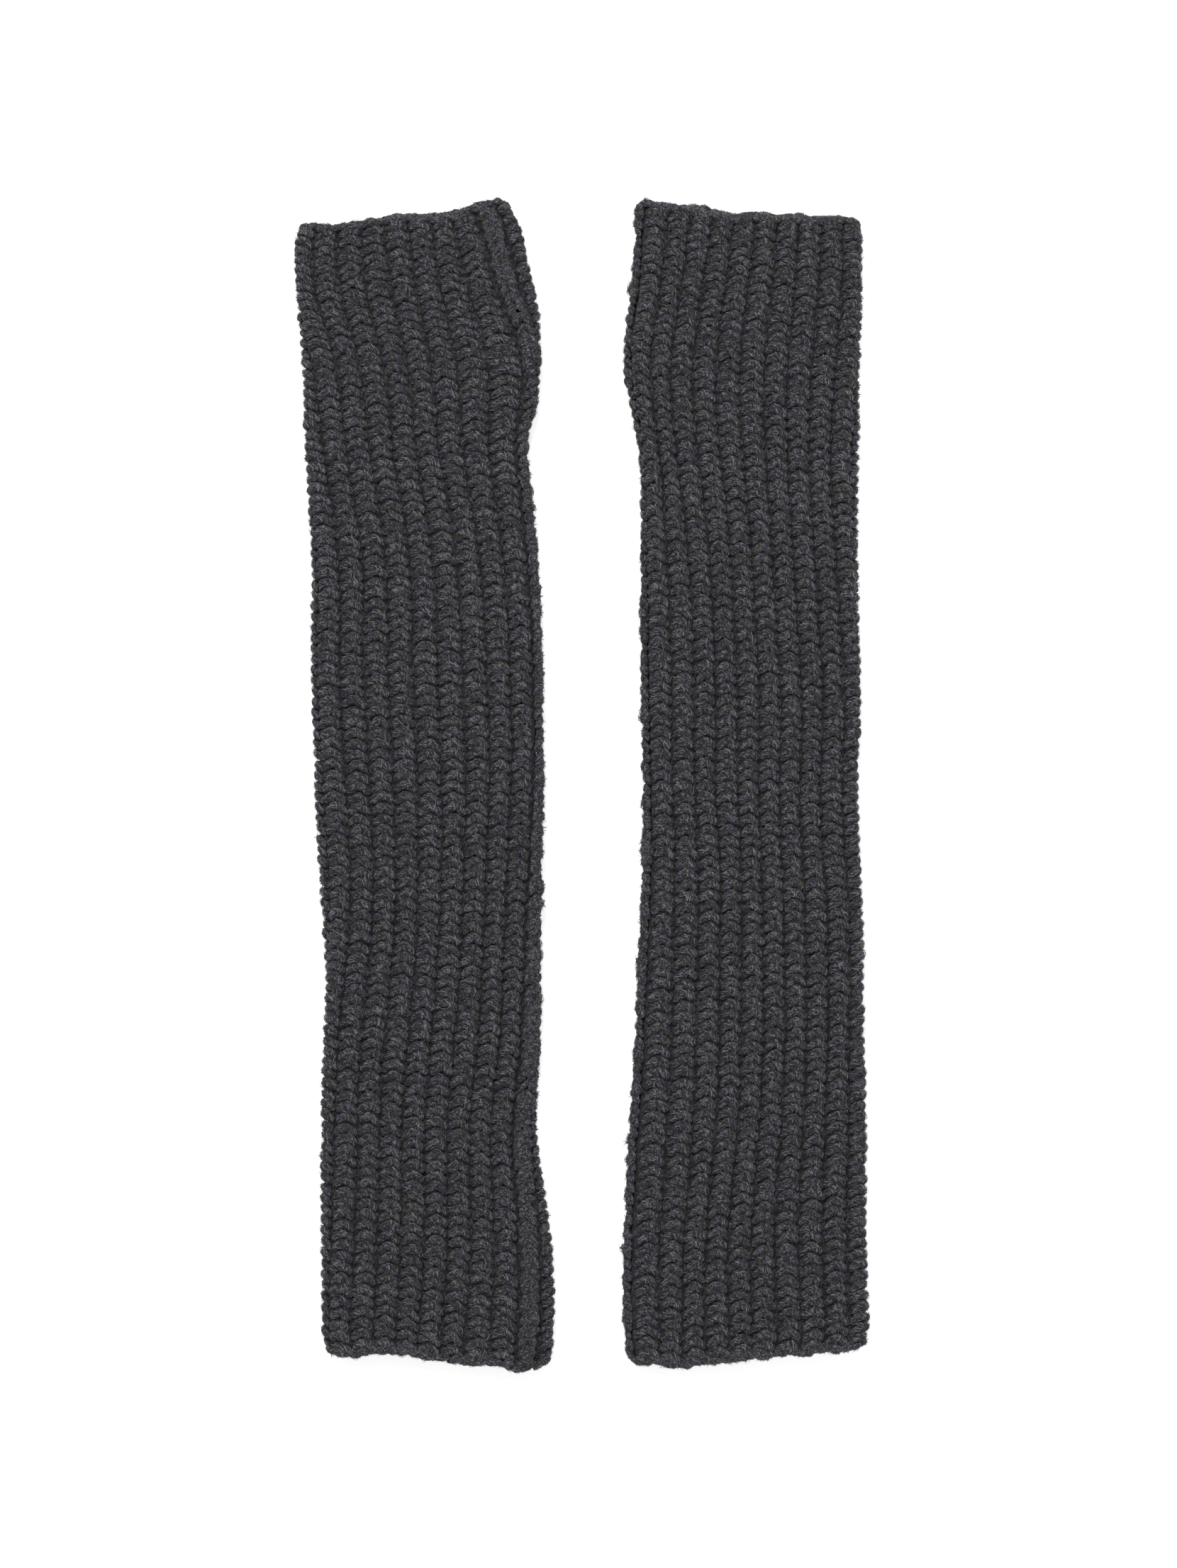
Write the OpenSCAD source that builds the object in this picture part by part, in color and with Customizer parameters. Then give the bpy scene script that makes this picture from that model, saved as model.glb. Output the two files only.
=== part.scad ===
// A pair of long fingerless gloves in chunky rib knit, laid flat side by side, backs of the hands up.
// Each glove is one knitted panel folded along its outer edge and sewn up along its inner edge,
// apart from the thumb opening. The finger edges point along +Y, and the gloves lie on the XY plane.

/* [Length] */
// Length of each glove along its outer fold
glove_length = 414; // [330:1:500]
// How much further each end reaches at the seam than at the fold
edge_slant = 8.5; // [0:0.5:15]

/* [Width laid flat, left glove then right] */
// At the finger edge
finger_width = [82, 82]; // [60:0.5:110]
// Across the palm, where the thumb opening bulges most
palm_width = [87, 85]; // [60:0.5:110]
// Just below the thumb opening
wrist_width = [83, 78.5]; // [55:0.5:110]
// At half length, where the glove folds over
middle_width = [82.5, 79]; // [55:0.5:110]
// Half-way up the forearm
forearm_width = [79, 84]; // [55:0.5:115]
// At the elbow edge
elbow_width = [85.5, 89.5]; // [60:0.5:125]

/* [Thumb opening] */
// From the finger edge down to the opening
thumb_from_fingers = 35.5; // [15:0.5:50]
// Length of the opening
thumb_opening = 51; // [35:1:75]

/* [Knitted fabric] */
// Thickness of one layer of the knit
layer_thickness = 3.6; // [2:0.1:6]
// Height of the space inside a glove that lies flat
inner_space = 4.8; // [3:0.1:10]
// Width of the sewn seam, seen from above
seam_width = 5; // [3:0.5:9]
// Depth of the bound-off row at the finger edge
finger_edge_depth = 4; // [2:0.5:10]
// Depth of the cast-on row at the elbow edge
elbow_edge_depth = 5; // [2:0.5:10]

/* [Laying out, left glove then right] */
// Space between the two gloves where they come nearest
gap = 24.5; // [5:0.5:120]
// How far each finger end leans outwards from half length
finger_lean = [6.5, 0.5]; // [-8:0.5:12]
// How far the middle of each forearm lies outwards from half length
forearm_lean = [-3.5, 2]; // [-8:0.5:12]
// How far each elbow end leans outwards from half length
elbow_lean = [-3.5, 3.5]; // [-8:0.5:12]
// Room left on each side of the line that a glove folds over at
fold_clearance = 0.3; // [0.2:0.05:1]

/* [Hidden] */

LEFT = 0;
RIGHT = 1;
LOWER = 0;
UPPER = 1;

charcoal = "#373739";
dark_charcoal = "#2d2d30";

thickness = 2 * layer_thickness + inner_space;
fold_width = thickness / 2;
// Spacing of the points along a glove's edges, and steps round a fold or seam
point_spacing = 12;
round_steps = 8;

// Places along a glove, as shares of its length from the elbow edge (0) to the finger edge (1)
elbow_end = elbow_edge_depth / glove_length;
finger_end = 1 - finger_edge_depth / glove_length;
arm_end = 0.5 - fold_clearance / glove_length;
hand_start = 0.5 + fold_clearance / glove_length;
thumb_top = 1 - thumb_from_fingers / glove_length;
thumb_bottom = thumb_top - thumb_opening / glove_length;
palm = thumb_bottom + 2 / 3 * thumb_opening / glove_length;
wrist = thumb_bottom - 15 / glove_length;
elbow_flare = 20 / glove_length;
forearm = 0.27;

// The value at t of a line that runs smoothly through stops, a list of [t, value]
function eased(k) = k * k * (3 - 2 * k);
function through(stops, t, i = 0) =
    i > len(stops) - 2 ? stops[len(stops) - 1][1]
    : t <= stops[i + 1][0] ? stops[i][1] + (stops[i + 1][1] - stops[i][1])
        * eased(max(0, t - stops[i][0]) / (stops[i + 1][0] - stops[i][0]))
    : through(stops, t, i + 1);

// Width of glove g at share t of its length, and how far its fold leans outwards there
function width(g, t) = through([
    [0, elbow_width[g]],
    [elbow_flare, elbow_width[g]],
    [forearm, forearm_width[g]],
    [0.5, middle_width[g]],
    [wrist, wrist_width[g]],
    [palm, palm_width[g]],
    [1, finger_width[g]],
], t);
function lean(g, t) = through([
    [0, elbow_lean[g]],
    [forearm, forearm_lean[g]],
    [0.5, 0],
    [1, finger_lean[g]],
], t);

// How far the fold lies from the line between the gloves, which come within half the gap of it
stops = [0, elbow_flare, forearm, 0.5, wrist, palm, 1];
function reach(g, t) = gap / 2 + lean(g, t) + max([for (s = stops) width(g, s) - lean(g, s)]);
function widest_reach(g) = max([for (s = stops) reach(g, s)]);

// The point of glove g at share t of its length and distance d from its fold
function spot(g, t, d) = [
    reach(g, t) - d,
    (t - 0.5) * glove_length + edge_slant * (2 * t - 1) * d / width(g, t),
];

// Evenly spaced shares of the length from a to b
function along(a, b) = let (n = ceil((b - a) * glove_length / point_spacing))
    [for (i = [0:n]) a + (b - a) * i / n];

// The same list, last item first
function turned(list) = [for (i = [len(list) - 1:-1:0]) list[i]];

// The gloves are drawn on the right and mirrored to the left, then centred on the origin
module place(g) {
    translate([(widest_reach(LEFT) - widest_reach(RIGHT)) / 2, 0, 0])
        mirror([g == LEFT ? 1 : 0, 0, 0])
            children();
}

// A solid through rows of points, each row a closed loop of the same length
module skin(rows) {
    n = len(rows[0]);
    last = len(rows) - 1;
    sides = [for (r = [0:last - 1], i = [0:n - 1])
        [r * n + i, r * n + (i + 1) % n, (r + 1) * n + (i + 1) % n, (r + 1) * n + i]];
    start = [for (i = [n - 1:-1:0]) i];
    finish = [for (i = [0:n - 1]) last * n + i];
    polyhedron([for (row = rows, p = row) p], concat(sides, [start, finish]), convexity = 4);
}

// A ring through rows of points, the last of which joins the first again
module closed_skin(rows) {
    n = len(rows[0]);
    m = len(rows);
    polyhedron(
        [for (row = rows, p = row) p],
        [for (r = [0:m - 1], i = [0:n - 1])
            [r * n + i, r * n + (i + 1) % n, ((r + 1) % m) * n + (i + 1) % n, ((r + 1) % m) * n + i]],
        convexity = 4
    );
}

// One flat layer of glove g between the fold and the seam; inner holds the [share, distance] points
// of its seam side, and start and end are the shares of the length that it runs between
module layer(g, level, start, end, inner) {
    outline = concat(
        [for (t = along(start, end)) spot(g, t, fold_width)],
        turned([for (p = inner) spot(g, p[0], p[1])])
    );
    place(g)
        translate([0, 0, level == UPPER ? thickness - layer_thickness : 0])
            linear_extrude(layer_thickness)
                polygon(outline);
}

// [share, distance] points of the inner side of a layer along a stretch that is sewn, and one that is open
function sewn(g, a, b) = [for (t = along(a, b)) [t, width(g, t) - seam_width]];
function open(g, a, b) = [for (t = along(a, b)) [t, width(g, t)]];

// A strip down one edge of glove g with a rounded outer side: the fold, or a seam
module strip(g, start, end, depth, at_seam) {
    function ring(t) = [
        for (i = [0:round_steps])
            let (
                angle = -90 + 180 * i / round_steps,
                proud = depth * cos(angle),
                d = at_seam ? width(g, t) - depth + proud : depth - proud,
                p = spot(g, t, d)
            )
            [p[0], p[1], thickness / 2 * (1 + sin(angle))],
    ];
    place(g) skin([for (t = along(start, end)) at_seam ? turned(ring(t)) : ring(t)]);
}

// The loop round glove g at share t, drawn inwards by inset
function around(g, t, inset) =
    let (
        half = thickness / 2 - inset,
        w = width(g, t),
        fold_side = [for (i = [0:round_steps])
            let (angle = -90 + 180 * i / round_steps)
                [fold_width - (fold_width - inset) * cos(angle), half * sin(angle)]],
        seam_side = [for (i = [0:round_steps])
            let (angle = 90 + 180 * i / round_steps)
                [w - seam_width - max(0, seam_width - inset) * cos(angle), half * sin(angle)]]
    )
    [for (q = concat(fold_side, seam_side)) let (p = spot(g, t, q[0])) [p[0], p[1], thickness / 2 + q[1]]];

// The bound-off or cast-on row round the mouth of glove g between shares a and b
module mouth_edge(g, a, b) {
    place(g)
        closed_skin([
            around(g, b, 0),
            around(g, b, layer_thickness),
            around(g, a, layer_thickness),
            around(g, a, 0),
        ]);
}

// The parts of either glove
module hand_layer(g, level) {
    layer(g, level, hand_start, finger_end, concat(
        sewn(g, hand_start, thumb_bottom),
        open(g, thumb_bottom, thumb_top),
        sewn(g, thumb_top, finger_end)
    ));
}

module arm_layer(g, level) {
    layer(g, level, elbow_end, arm_end, sewn(g, elbow_end, arm_end));
}

module hand_fold(g) {
    strip(g, hand_start, finger_end, fold_width, false);
}

module arm_fold(g) {
    strip(g, elbow_end, arm_end, fold_width, false);
}

module hand_seam(g) {
    strip(g, thumb_top, finger_end, seam_width, true);
}

module wrist_seam(g) {
    strip(g, hand_start, thumb_bottom, seam_width, true);
}

module arm_seam(g) {
    strip(g, elbow_end, arm_end, seam_width, true);
}

// Sub-parts of the left glove
module left_hand_upper_layer() color(charcoal) hand_layer(LEFT, UPPER);
module left_hand_lower_layer() color(charcoal) hand_layer(LEFT, LOWER);
module left_hand_fold() color(charcoal) hand_fold(LEFT);
module left_hand_seam() color(dark_charcoal) hand_seam(LEFT);
module left_wrist_seam() color(dark_charcoal) wrist_seam(LEFT);
module left_finger_edge() color(dark_charcoal) mouth_edge(LEFT, finger_end, 1);
module left_arm_upper_layer() color(charcoal) arm_layer(LEFT, UPPER);
module left_arm_lower_layer() color(charcoal) arm_layer(LEFT, LOWER);
module left_arm_fold() color(charcoal) arm_fold(LEFT);
module left_arm_seam() color(dark_charcoal) arm_seam(LEFT);
module left_elbow_edge() color(dark_charcoal) mouth_edge(LEFT, 0, elbow_end);

// Sub-parts of the right glove
module right_hand_upper_layer() color(charcoal) hand_layer(RIGHT, UPPER);
module right_hand_lower_layer() color(charcoal) hand_layer(RIGHT, LOWER);
module right_hand_fold() color(charcoal) hand_fold(RIGHT);
module right_hand_seam() color(dark_charcoal) hand_seam(RIGHT);
module right_wrist_seam() color(dark_charcoal) wrist_seam(RIGHT);
module right_finger_edge() color(dark_charcoal) mouth_edge(RIGHT, finger_end, 1);
module right_arm_upper_layer() color(charcoal) arm_layer(RIGHT, UPPER);
module right_arm_lower_layer() color(charcoal) arm_layer(RIGHT, LOWER);
module right_arm_fold() color(charcoal) arm_fold(RIGHT);
module right_arm_seam() color(dark_charcoal) arm_seam(RIGHT);
module right_elbow_edge() color(dark_charcoal) mouth_edge(RIGHT, 0, elbow_end);

left_hand_upper_layer();
left_hand_lower_layer();
left_hand_fold();
left_hand_seam();
left_wrist_seam();
left_finger_edge();
left_arm_upper_layer();
left_arm_lower_layer();
left_arm_fold();
left_arm_seam();
left_elbow_edge();
right_hand_upper_layer();
right_hand_lower_layer();
right_hand_fold();
right_hand_seam();
right_wrist_seam();
right_finger_edge();
right_arm_upper_layer();
right_arm_lower_layer();
right_arm_fold();
right_arm_seam();
right_elbow_edge();
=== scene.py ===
"""A pair of long fingerless gloves in chunky rib wool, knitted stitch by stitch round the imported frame."""

import math

import bpy
import numpy as np
from bpy.props import FloatProperty, FloatVectorProperty, IntProperty, PointerProperty
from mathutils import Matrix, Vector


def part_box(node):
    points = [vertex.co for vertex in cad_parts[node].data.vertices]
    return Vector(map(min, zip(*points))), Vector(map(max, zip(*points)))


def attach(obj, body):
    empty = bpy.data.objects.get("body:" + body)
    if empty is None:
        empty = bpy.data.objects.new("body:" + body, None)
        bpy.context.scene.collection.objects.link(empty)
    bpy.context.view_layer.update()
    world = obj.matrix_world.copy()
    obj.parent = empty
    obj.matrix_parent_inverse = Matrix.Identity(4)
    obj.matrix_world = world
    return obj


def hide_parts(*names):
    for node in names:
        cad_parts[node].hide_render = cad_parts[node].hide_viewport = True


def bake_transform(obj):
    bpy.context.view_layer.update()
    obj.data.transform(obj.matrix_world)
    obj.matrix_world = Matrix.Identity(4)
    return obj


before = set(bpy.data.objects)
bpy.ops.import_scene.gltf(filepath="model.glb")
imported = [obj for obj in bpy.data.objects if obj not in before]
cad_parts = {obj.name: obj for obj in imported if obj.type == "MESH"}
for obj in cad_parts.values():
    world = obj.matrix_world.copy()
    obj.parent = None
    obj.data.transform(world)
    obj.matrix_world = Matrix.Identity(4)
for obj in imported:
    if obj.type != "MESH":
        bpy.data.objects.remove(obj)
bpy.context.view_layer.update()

bl_info = {
    "name": "Rib Knit Fingerless Gloves",
    "version": (1, 0, 0),
    "blender": (4, 5, 0),
    "location": "3D View > Sidebar > Gloves",
    "description": "Knits a pair of long fingerless gloves in chunky rib wool",
    "category": "Add Mesh",
}

MM = 0.001
SIDES = ("left", "right")
LAYERS = ("upper", "lower")
# How the knit lies on each flattened tube, at shares of the length from the elbow edge to the finger edge:
# how many columns it is turned round the tube towards the seam side, and how wide a column of the upper
# layer is beside the mean column, because each layer is stretched a little differently
LAY = {
    "left": {
        "share": (0, 0.1, 0.2, 0.3, 0.42, 0.5, 0.6, 0.7, 0.8, 0.88, 0.94, 1),
        "turn": (-1.35, -1.1, -0.72, -0.48, -0.05, 0.1, 0, -0.2, -0.6, -1.15, -1.45, -1.5),
        "stretch": (0.94, 0.98, 1.02, 1.04, 1.02, 1.03, 1.04, 1.03, 1.0, 0.97, 1.03, 1.04),
    },
    "right": {
        "share": (0, 0.1, 0.2, 0.3, 0.42, 0.5, 0.6, 0.7, 0.78, 0.86, 0.94, 1),
        "turn": (0.24, 0.2, 0.11, 0.05, 0.09, 0.2, 0.18, 0.45, 0.76, 0.56, 0.42, 0.2),
        "stretch": (0.96, 0.95, 0.94, 0.93, 0.94, 0.96, 0.95, 0.97, 0.99, 0.96, 0.96, 0.94),
    },
}
# How far the seam line itself is from the inner edge, in columns, at shares of the length
SEAM_TURN = {
    "left": (
        (0, 0.1, 0.3, 0.5, 0.72, 0.8, 0.86, 0.91, 1),
        (-1.25, -1.05, -0.5, 0, -0.05, -0.1, -0.4, -1.05, -1.4),
    ),
    "right": (
        (0, 0.3, 0.5, 0.72, 0.9, 1),
        (0.1, 0.05, 0.1, 0.3, 0.2, 0.1),
    ),
}
# Shape of the finger edge and the elbow edge from the fold (0) to the seam (1): how many millimetres past
# the straight line between the two corners the knit reaches there
FINGER_EDGE = {
    "left": (
        (0, 0.14, 0.3, 0.45, 0.6, 0.74, 0.86, 0.95, 1),
        (-1.3, -3.9, -4.0, -3.6, -4.0, -4.6, -2.0, -1.6, -2.4),
    ),
    "right": (
        (0, 0.1, 0.3, 0.42, 0.62, 0.8, 0.9, 1),
        (-0.6, -0.8, -2.0, -2.6, -3.5, -2.8, -2.9, -1.3),
    ),
}
ELBOW_EDGE = {
    "left": (
        (0, 0.08, 0.16, 0.3, 0.5, 0.62, 0.74, 0.88, 1),
        (2.2, 2.6, 1.0, -0.4, 0.4, 0.8, -0.4, 0.8, -3.0),
    ),
    "right": (
        (0, 0.06, 0.15, 0.26, 0.5, 0.7, 0.8, 0.9, 1),
        (-0.4, -0.3, 0.2, 0.3, -0.1, 0.2, 0.4, -2.0, -2.6),
    ),
}
# How many millimetres each corner is rounded off, at the elbow edge and at the finger edge
CORNERS = {
    "left": {"fold": (2.2, 3.2), "seam": (2.2, 4.8)},
    "right": {"fold": (2.8, 1.9), "seam": (2.2, 2.6)},
}
# How many millimetres the soft fold and seam stand out from the frame's smooth edges, at shares of the
# length
FOLD_EASE = {
    "left": (
        (0, 0.1, 0.25, 0.37, 0.5, 0.6, 0.68, 0.8, 0.86, 0.93, 1),
        (0.3, 0.6, 0.2, -1.4, -0.5, 0.3, -1.2, -0.7, -1.5, 0.6, 1.2),
    ),
    "right": (
        (0, 0.1, 0.2, 0.3, 0.4, 0.47, 0.57, 0.64, 0.75, 0.85, 0.93, 1),
        (1.8, 0.8, 1.3, 0.6, 0.9, 0.4, 1.7, 1.0, 0, 0.5, 2.0, 1.8),
    ),
}
SEAM_EASE = {
    "left": (
        (0, 0.12, 0.2, 0.27, 0.36, 0.55, 0.68, 0.74, 0.79, 0.83, 1),
        (-0.2, -0.4, -1.5, 1.3, 0.9, 1.6, 1.3, 0, -1.2, 1.3, 0.8),
    ),
    "right": (
        (0, 0.1, 0.2, 0.3, 0.4, 0.5, 0.65, 0.78, 0.84, 0.93, 1),
        (-1.2, -0.1, 0.5, -0.8, -1.2, -0.5, 0.7, 1.1, 1.5, -0.9, 0),
    ),
}
# Where the blend turns dark, middle and light: on the ribs' yarn, on the edges' yarn and on loose fibres
YARN_STOPS = (0.585, 0.71, 0.87)
EDGE_STOPS = (0.62, 0.7, 0.81)
FUZZ_STOPS = (0.635, 0.7, 0.805)
# How much of the cloth's depth the middle of the sewn seam lies in from the inner edge
SEAM_INSET = 0.9
# How far from the ends of the sleeve the rows of stitches start and stop
FIRST_ROW = 3.6 * MM
LAST_ROW = 3.0 * MM
# Millimetres of wool from which each piece of yarn or fibre takes its own stretch
WOOL_LENGTH = 900


def linear(hex_colour):
    """sRGB hex to linear RGB."""
    parts = [int(hex_colour[i : i + 2], 16) / 255 for i in (1, 3, 5)]
    return tuple(p / 12.92 if p <= 0.04045 else ((p + 0.055) / 1.055) ** 2.4 for p in parts)


def smooth(t):
    t = np.clip(t, 0.0, 1.0)
    return t * t * (3 - 2 * t)


def curve(x, stops, values):
    """A smooth line through the values at the stops."""
    stops, values = np.array(stops, float), np.array(values, float)
    slopes = np.gradient(values, stops)
    i = np.clip(np.searchsorted(stops, x) - 1, 0, len(stops) - 2)
    gap = stops[i + 1] - stops[i]
    t = np.clip((x - stops[i]) / gap, 0, 1)
    start = (2 * t**3 - 3 * t**2 + 1) * values[i] + (t**3 - 2 * t**2 + t) * gap * slopes[i]
    return start + (3 * t**2 - 2 * t**3) * values[i + 1] + (t**3 - t**2) * gap * slopes[i + 1]


def waves(seed, x, y, size, count=9):
    """A smooth random field over x and y between about -1 and 1, with bumps of the given size."""
    rng = np.random.default_rng(seed)
    total = np.zeros(np.broadcast(x, y).shape)
    for angle, phase, stretch in zip(
        rng.uniform(0, 2 * math.pi, count), rng.uniform(0, 2 * math.pi, count), rng.uniform(0.6, 1.6, count)
    ):
        k = 2 * math.pi / (size * stretch)
        total = total + np.sin(k * (x * math.cos(angle) + y * math.sin(angle)) + phase)
    return total / math.sqrt(count)


def millimetres(name, description, default):
    """A length property whose default is given in millimetres."""
    return FloatProperty(name=name, description=description, default=default * MM, unit="LENGTH")


def colour(name, description, default):
    """A colour property whose default is given as sRGB hex."""
    return FloatVectorProperty(name=name, description=description, default=linear(default), subtype="COLOR")


class KnitSizes(bpy.types.PropertyGroup):
    columns: IntProperty(
        name="Columns", description="Stitch columns round a glove, one of them the seam", default=20, min=12
    )
    stitch_height: millimetres("Stitch height", "Height of a stitch on the arm", 3.95)
    stitch_width: FloatProperty(
        name="Stitch width", description="How much of its column a stitch's arch spans", default=0.81,
        subtype="FACTOR", min=0.3, max=1,
    )
    finger_stitch_height: millimetres(
        "Finger stitch height", "Height of a stitch at the finger edge", 3.65
    )
    yarn_depth: millimetres("Yarn depth", "Half the thickness of the yarn, square to the cloth", 1.45)
    stitch_rise: millimetres("Stitch rise", "How far the top of a stitch's arch is above its feet", 3.0)
    cloth_depth: millimetres(
        "Cloth depth", "Depth of the middle of the cloth under the tops of the ribs", 2.0
    )
    crown: millimetres("Crown", "Height of the middle of a stitch above the middle of the cloth", 0.65)
    crown_fall: millimetres("Crown fall", "How far a stitch's feet lie below its crown", 1.5)
    panel_width: millimetres(
        "Panel width", "Flat width of the knitted panel from selvedge to selvedge", 176
    )
    panel_length: millimetres("Panel length", "Flat length of the panel from cast-on to bind-off", 420)
    seam_width: millimetres("Seam width", "Width of the sewn edge from above", 5.0)
    turn: FloatProperty(
        name="Turn", description="How much of each tube's turn from lying flat the knit shows", default=1.0,
        min=0, max=1,
    )


class EdgeSizes(bpy.types.PropertyGroup):
    selvedge_gap: millimetres(
        "Selvedge gap", "From the seam line to the middle of each selvedge column", 1.35
    )
    selvedge_radius: millimetres("Selvedge yarn", "Radius of the yarn in the selvedge columns", 1.35)
    thumb_gap: millimetres("Thumb gap", "How far each lip of the thumb opening is drawn back", 0.15)
    sewing_radius: millimetres("Sewing yarn", "Radius of the yarn that sews the seam", 1.2)
    finger_pitch: millimetres("Bind-off pitch", "Spacing of the bound-off stitches", 3.9)
    finger_radius: millimetres("Bind-off yarn", "Radius of the yarn along the finger edge", 1.25)
    elbow_pitch: millimetres("Cast-on pitch", "Spacing of the cast-on stitches", 4.1)
    elbow_radius: millimetres("Cast-on yarn", "Radius of the yarn along the elbow edge", 1.35)


class FuzzSizes(bpy.types.PropertyGroup):
    count: IntProperty(name="Fibres", description="Loose fibres on each rib stitch", default=88, min=1)
    edge_count: IntProperty(
        name="Edge fibres", description="Loose fibres on each stitch of the seams and edges", default=64,
        min=1,
    )
    twist: FloatProperty(
        name="Twist", description="Angle of the fibres to the yarn", default=math.radians(32), min=0,
        max=math.radians(90), subtype="ANGLE",
    )
    length: millimetres("Fibre length", "Usual length of a loose fibre", 1.9)
    radius: millimetres(
        "Fibre radius", "Radius of a loose fibre, coarser than real so that it shows", 0.13
    )
    lift: millimetres("Fibre lift", "How far the loose ends stand off the wool", 0.24)


class WoolColours(bpy.types.PropertyGroup):
    dark: colour("Dark fibre", "Darkest wool in the blend", "#17171a")
    middle: colour("Middle fibre", "Commonest wool in the blend", "#333337")
    light: colour("Light fibre", "Lightest wool in the blend", "#8d8e92")
    blue: colour("Blue fleck", "Bluish part of the blend", "#363c5e")
    olive: colour("Olive fleck", "Olive part of the blend", "#544e2c")


class Sleeve:
    """One glove's flattened tube. A place on it is a column (0 on the fold, then over the upper layer to
    the seam at plus half the columns, or under the lower layer to the seam at minus half), a share of the
    length from the elbow edge (0) to the finger edge (1), and a height out of the middle of the cloth in
    metres."""

    def __init__(self, side, knit):
        self.side, self.knit = side, knit
        self.seed = 11 if side == "left" else 23
        self.out = -1 if side == "left" else 1
        self.half = knit.columns / 2
        nodes = {n: o for n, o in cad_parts.items() if n.startswith(side)}
        points = {n: np.array([v.co for v in o.data.vertices]) for n, o in nodes.items()}
        every = np.concatenate(list(points.values()))
        self.thickness = every[:, 2].max()
        self.finger_y = self.corner_heights(points[side + "_finger_edge"], 1)
        self.elbow_y = self.corner_heights(points[side + "_elbow_edge"], -1)
        self.length = (self.finger_y.sum() - self.elbow_y.sum()) / 2
        thumb = [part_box(side + "_wrist_seam")[1].y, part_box(side + "_hand_seam")[0].y]
        self.thumb = [(y - self.elbow_y[1]) / (self.finger_y[1] - self.elbow_y[1]) for y in thumb]
        self.read_edges(nodes)

    def corner_heights(self, points, way):
        """How far along Y the fold's and the seam's corner of a mouth are."""
        across = points[:, 0] * self.out
        near = 0.3 * MM
        return np.array([
            way * max(way * points[across > across.max() - near, 1]),
            way * max(way * points[across < across.min() + near, 1]),
        ])

    def read_edges(self, nodes):
        """Tables of the X of the fold and the seam at even shares of the length, cut from the nodes."""
        starts, ends = [], []
        for o in nodes.values():
            co = np.array([v.co for v in o.data.vertices])
            pairs = np.array([e.vertices for e in o.data.edges])
            starts.append(co[pairs[:, 0]])
            ends.append(co[pairs[:, 1]])
        starts, ends = np.concatenate(starts), np.concatenate(ends)
        self.share = np.linspace(0, 1, 160)
        inset, just_inside = 0.1 * MM, 0.9995
        edges = []
        for which in (0, 1):
            xs = []
            for t in self.share:
                y = self.elbow_y[which] + (self.finger_y[which] - self.elbow_y[which]) * t
                if which == 0:
                    y = np.clip(y, self.elbow_y[0] + inset, self.finger_y[0] - inset)
                else:
                    y = y * just_inside
                a, b = starts[:, 1], ends[:, 1]
                cut = (a - y) * (b - y) <= 0
                k = (y - a[cut]) / np.where(a[cut] == b[cut], 1, b[cut] - a[cut])
                x = starts[cut, 0] + (ends[cut, 0] - starts[cut, 0]) * k
                xs.append(self.out * (max(self.out * x) if which == 0 else min(self.out * x)))
            edges.append(np.array(xs))
        fold_ease = MM * (curve(self.share, *FOLD_EASE[self.side]) - self.rounding("fold"))
        seam_ease = MM * (curve(self.share, *SEAM_EASE[self.side]) - self.rounding("seam"))
        self.fold_x = edges[0] + self.out * fold_ease
        self.seam_x = edges[1] - self.out * seam_ease

    def rounding(self, edge):
        """How far the rounded corners draw the fold or the seam in, in millimetres."""
        total, reach_per_depth = 0, 3.4
        for from_end, drawn_in in zip((self.share, 1 - self.share), CORNERS[self.side][edge]):
            reach = reach_per_depth * drawn_in * MM
            total = total + drawn_in * np.clip(1 - from_end * self.length / reach, 0, 1) ** 2
        return total

    def half_girth(self, share):
        """Distance from the fold to the seam round the middle of the cloth."""
        width = np.interp(share, self.share, np.abs(self.seam_x - self.fold_x))
        round_fold = self.thickness / 2 - self.knit.cloth_depth
        round_seam = (self.knit.seam_width - SEAM_INSET * self.knit.cloth_depth + round_fold) / 2
        flat = width - self.thickness / 2 - self.knit.seam_width
        return (round_fold + round_seam) * math.pi / 2 + flat

    def pitch(self, share):
        """Width of a column."""
        return self.half_girth(share) / self.half

    def opened(self, share):
        """1 along the thumb opening and 0 where the edge is sewn."""
        soft = 5 * MM / self.length
        return smooth((share - self.thumb[0]) / soft + 0.5) * smooth((self.thumb[1] - share) / soft + 0.5)

    def laid(self, column, share):
        """Where a column lies on the flattened tube, by its turn, its stretch and a little wander."""
        lay, seam, half = LAY[self.side], SEAM_TURN[self.side], self.half
        wander, wander_size, column_size = 0.08, 120 * MM, 9 * MM
        turn = curve(share, lay["share"], lay["turn"])
        turn = turn + wander * waves(self.seed, share * self.length, column * column_size, wander_size)
        stretch = 1 - curve(share, lay["share"], lay["stretch"])
        by_seam = smooth((np.abs(column) / half - 0.7) / 0.3)
        unmoved = 0.45 * half
        free = turn + stretch * (unmoved - np.abs(column))
        shift = (free * (1 - by_seam) + curve(share, *seam) * by_seam) * self.knit.turn
        return (column + shift + half) % (2 * half) - half

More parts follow.
